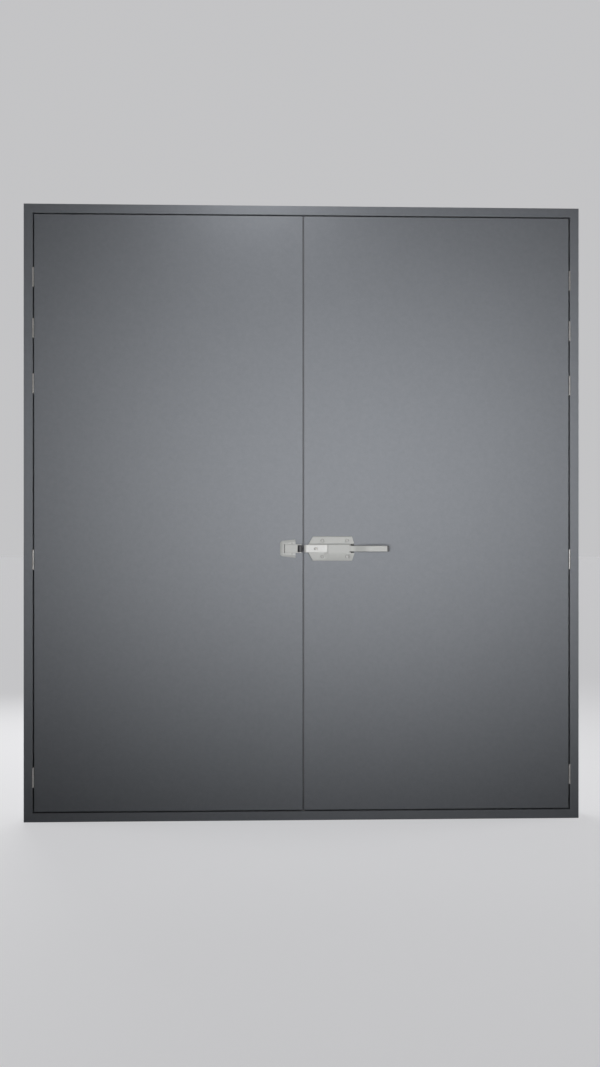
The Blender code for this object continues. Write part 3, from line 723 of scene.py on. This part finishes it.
latch_middle = (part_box("latch_housing")[0].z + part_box("latch_housing")[1].z) / 2
casting = die_casting("silver_die_casting", CAST_SILVER, 0.55)
# A near-black material that paints shade into the lever's pocket and the keeper's gap.
painted_shade_material = die_casting("painted_shade_near_black", SHADE_NEAR_BLACK, 0.75)
housing = rounded_copy("latch_housing", "housing_casting", HOUSING_EDGE)
stands_for(housing, casting, "silver_casting", "latch_housing")
# The pocket's inside faces get the near-black painted shade.
paint_shade_inside(housing, POCKET_LEFT, POCKET_RIGHT, POCKET_HALF, POCKET_FLOOR, POCKET_MOUTH)
pan_head = turned_cone("pan_head", 0, PAN_HEIGHT, PAN_HEAD, PAN_HEAD)
pick_edges(pan_head, lambda place: place.z > PAN_HEIGHT * 0.99)
bpy.ops.mesh.bevel(offset=PAN_CROWN, segments=4)
bpy.ops.object.mode_set(mode="OBJECT")
cross_cut(pan_head, PAN_HEIGHT, reach=PAN_HEAD * 0.55, width=PAN_HEAD * 0.16, depth=PAN_HEIGHT * 0.5)
seats = [((0, -1, 0), (x, door_front - seat, latch_middle + z)) for x, z, seat in HOUSING_SCREWS]
finished(copies_at(pan_head, "housing_screws", seats), screw_steel, "right_leaf")

# Tongue
# A bar of bright ground steel with a bevelled tip, which slides in the housing's channel. Its slot runs
# on a plated steel pin that is pressed into the housing.

GROUND_GREY = (0.585, 0.585, 0.573)
TONGUE_EDGE = 0.0006
PIN_EDGE = 0.0003


def ground_steel(name, colour, roughness):
    """Bright ground steel, with faint lines along its length and paler rubbed edges."""
    material, tree, shader, place = new_material(name, roughness, metallic=0.05, specular=0.25)
    stretch = tree.nodes.new("ShaderNodeMapping")
    stretch.inputs["Scale"].default_value = (0.04, 1.0, 1.0)
    tree.links.new(place, stretch.inputs["Vector"])
    lines = noise(tree, stretch.outputs["Vector"], 1500.0, 3)
    cloud = noise(tree, place, 45.0, 2)
    rub = placed(tree, EDGE_RUB, place, Breakup=500.0)
    lined = remap(tree, lines, 0.3, 0.7, 0.95, 1.03)
    clouded = remap(tree, cloud, 0.3, 0.7, 0.98, 1.02)
    tone = sums(tree, "MULTIPLY", lined, clouded)
    tone = sums(tree, "ADD", tone, sums(tree, "MULTIPLY", rub["Mask"], 0.06))
    tree.links.new(tinted(tree, colour, tone), shader.inputs["Base Color"])
    gloss = remap(tree, lines, 0.3, 0.7, roughness - 0.05, roughness + 0.07)
    tree.links.new(gloss, shader.inputs["Roughness"])
    bump(tree, shader, lines, 0.2, 0.00003)
    return material


bright_steel = ground_steel("bright_steel", GROUND_GREY, 0.45)
tongue = rounded_copy("latch_tongue", "tongue_bar", TONGUE_EDGE)
stands_for(tongue, bright_steel, "bright_steel", "latch_tongue")
guide_pin = rounded_copy("tongue_guide_pin", "guide_pin_turned", PIN_EDGE)
stands_for(guide_pin, hinge_steel, "zinc_steel", "tongue_guide_pin")

# Lever
# A cast handle with the housing's silver coat, bent to stand off the leaf. It turns on an upright steel
# pin in the housing's pocket, and its grip ends in a push-on cap of black plastic.

PLASTIC_BLACK = (0.035, 0.035, 0.038)
LEVER_EDGE = 0.0008


def moulded_plastic(name, colour, roughness):
    """Black moulded plastic with a fine spark-eroded texture."""
    material, tree, shader, place = new_material(name, roughness, specular=0.45)
    cloud = noise(tree, place, 120.0, 3)
    pit = noise(tree, place, 1600.0, 2)
    tone = remap(tree, cloud, 0.3, 0.7, 0.85, 1.25)
    tree.links.new(tinted(tree, colour, tone), shader.inputs["Base Color"])
    gloss = remap(tree, pit, 0.3, 0.7, roughness - 0.06, roughness + 0.08)
    tree.links.new(gloss, shader.inputs["Roughness"])
    bump(tree, shader, pit, 0.35, 0.00005)
    return material


black_plastic = moulded_plastic("black_plastic", PLASTIC_BLACK, 0.5)
lever = rounded_copy("latch_lever", "lever_casting", LEVER_EDGE)
stands_for(lever, casting, "silver_casting", "latch_lever")
end_cap = rounded_copy("lever_end_cap", "end_cap_moulding", LEVER_EDGE)
stands_for(end_cap, black_plastic, "black_plastic", "lever_end_cap")
lever_pin = rounded_copy("lever_pin", "lever_pin_turned", PIN_EDGE)
stands_for(lever_pin, hinge_steel, "zinc_steel", "lever_pin")

# Keeper
# A cast base on the left leaf, held by two countersunk screws, with a raised block and two cheeks, which
# hold a black nylon roller on a steel pin. A narrow gap runs down the block's left side, its inside
# painted near-black as painted shade.

KEEPER_SCREWS = ((-0.041, 0.0190), (-0.041, -0.0190))
KEEPER_TOP = 0.012
KEEPER_EDGE = 0.0010
ROLLER_EDGE = 0.0004
GAP_LEFT = 0.0686
GAP_RIGHT = 0.0668
GAP_HALF = 0.0160
GAP_FLOOR = 0.0035
GAP_MOUTH = 0.0270
GAP_CORNER = 0.0004

seats = [((0, -1, 0), (x, door_front - KEEPER_TOP, latch_middle + z)) for x, z in KEEPER_SCREWS]
keeper = rounded_copy("keeper_base", "keeper_casting", KEEPER_EDGE)
cut_out(keeper, copies_at(sink, "sinks", seats))
gap_middle = (-(GAP_LEFT + GAP_RIGHT) / 2, door_front - (GAP_FLOOR + GAP_MOUTH) / 2, latch_middle)
bpy.ops.object.select_all(action="DESELECT")
bpy.ops.mesh.primitive_cube_add(size=1, location=gap_middle)
bpy.context.object.scale = (GAP_LEFT - GAP_RIGHT, GAP_MOUTH - GAP_FLOOR, 2 * GAP_HALF)
gap_cutter = started("gap_cutter")
pick_faces(gap_cutter, lambda face: True)
bpy.ops.mesh.bevel(offset=GAP_CORNER, segments=3)
bpy.ops.object.mode_set(mode="OBJECT")
cut_out(keeper, gap_cutter)
stands_for(keeper, casting, "silver_casting", "keeper_base")
# The gap's inside faces get the near-black painted shade.
paint_shade_inside(
    keeper,
    left=-GAP_LEFT - GAP_CORNER,
    right=-GAP_RIGHT + GAP_CORNER,
    half_height=GAP_HALF + GAP_CORNER,
    floor=GAP_FLOOR - GAP_CORNER,
    mouth=KEEPER_TOP - GAP_CORNER,
)
finished(copies_at(sunk_head, "keeper_screws", seats), screw_steel, "left_leaf")
roller = rounded_copy("keeper_roller", "roller_nylon", ROLLER_EDGE)
stands_for(roller, black_plastic, "black_plastic", "keeper_roller")
roller_pin = rounded_copy("keeper_roller_pin", "roller_pin_turned", PIN_EDGE)
stands_for(roller_pin, hinge_steel, "zinc_steel", "keeper_roller_pin")

# The screws' patterns have been copied to their places, so they go.
for pattern in (sunk_head, sink, pan_head):
    bpy.data.objects.remove(pattern, do_unlink=True)
